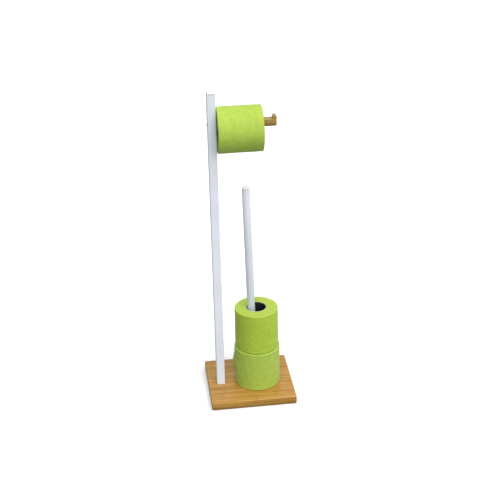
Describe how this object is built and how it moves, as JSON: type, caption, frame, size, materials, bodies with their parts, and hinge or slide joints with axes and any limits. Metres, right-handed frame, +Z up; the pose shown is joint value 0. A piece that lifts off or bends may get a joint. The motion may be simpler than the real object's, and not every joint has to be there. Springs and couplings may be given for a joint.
{
  "type": "toilet brush holder",
  "caption": "Free-standing bathroom stand: bamboo base with a white post, a roll arm, and a slim black cup for a toilet brush with spare paper rolls stored round it.",
  "frame": {"origin": "middle of the base's footprint, on the floor", "axes": "+Z up along the post, +X along the roll arm, -Y towards the front"},
  "size_m": [0.2, 0.19, 0.746],
  "materials": {
    "bamboo": "satin",
    "white_coat": "satin",
    "white_plastic": "satin",
    "black_plastic": "matte",
    "steel": "satin",
    "green_paper": "matte",
    "core_card": "matte",
    "rubber": "matte",
    "bristle": "matte"
  },
  "bodies": {
    "stand": {"base_plate": "bamboo", "foot_front_left": "rubber", "foot_front_right": "rubber", "foot_back_left": "rubber", "foot_back_right": "rubber", "post": "white_coat", "post_cap": "white_plastic", "post_insert": "black_plastic", "post_screw": "steel", "post_washer": "steel", "roll_arm": "bamboo", "arm_screw": "steel", "arm_pin": "steel", "brush_cup": "black_plastic", "cup_screw": "steel", "cup_washer": "steel"},
    "hanging_roll": {"hanging_paper": "green_paper", "hanging_core": "core_card"},
    "brush": {"brush_handle": "white_coat", "handle_cap": "white_plastic", "head_stem": "black_plastic", "head_core": "black_plastic", "bristles_side": "bristle", "bristles_end": "bristle"},
    "upper_roll": {"upper_paper": "green_paper", "upper_core": "core_card"},
    "lower_roll": {"lower_paper": "green_paper", "lower_core": "core_card"}
  },
  "joints": [
    {"name": "hanging_spin", "type": "hinge", "parent": "stand", "child": "hanging_roll", "pos_m": [-0.0601, -0.005, 0.6584], "axis": [1, 0, 0], "continuous": true},
    {"name": "brush_lift", "type": "slide", "parent": "stand", "child": "brush", "axis": [0, 0, 1], "range_m": [0, 0.083]},
    {"name": "upper_roll_lift", "type": "slide", "parent": "stand", "child": "upper_roll", "axis": [0, 0, 1], "range_m": [0, 0.08]},
    {"name": "lower_roll_spin", "type": "hinge", "parent": "stand", "child": "lower_roll", "pos_m": [0.0187, -0.005, 0.0208], "axis": [0, 0, 1], "continuous": true}
  ]
}
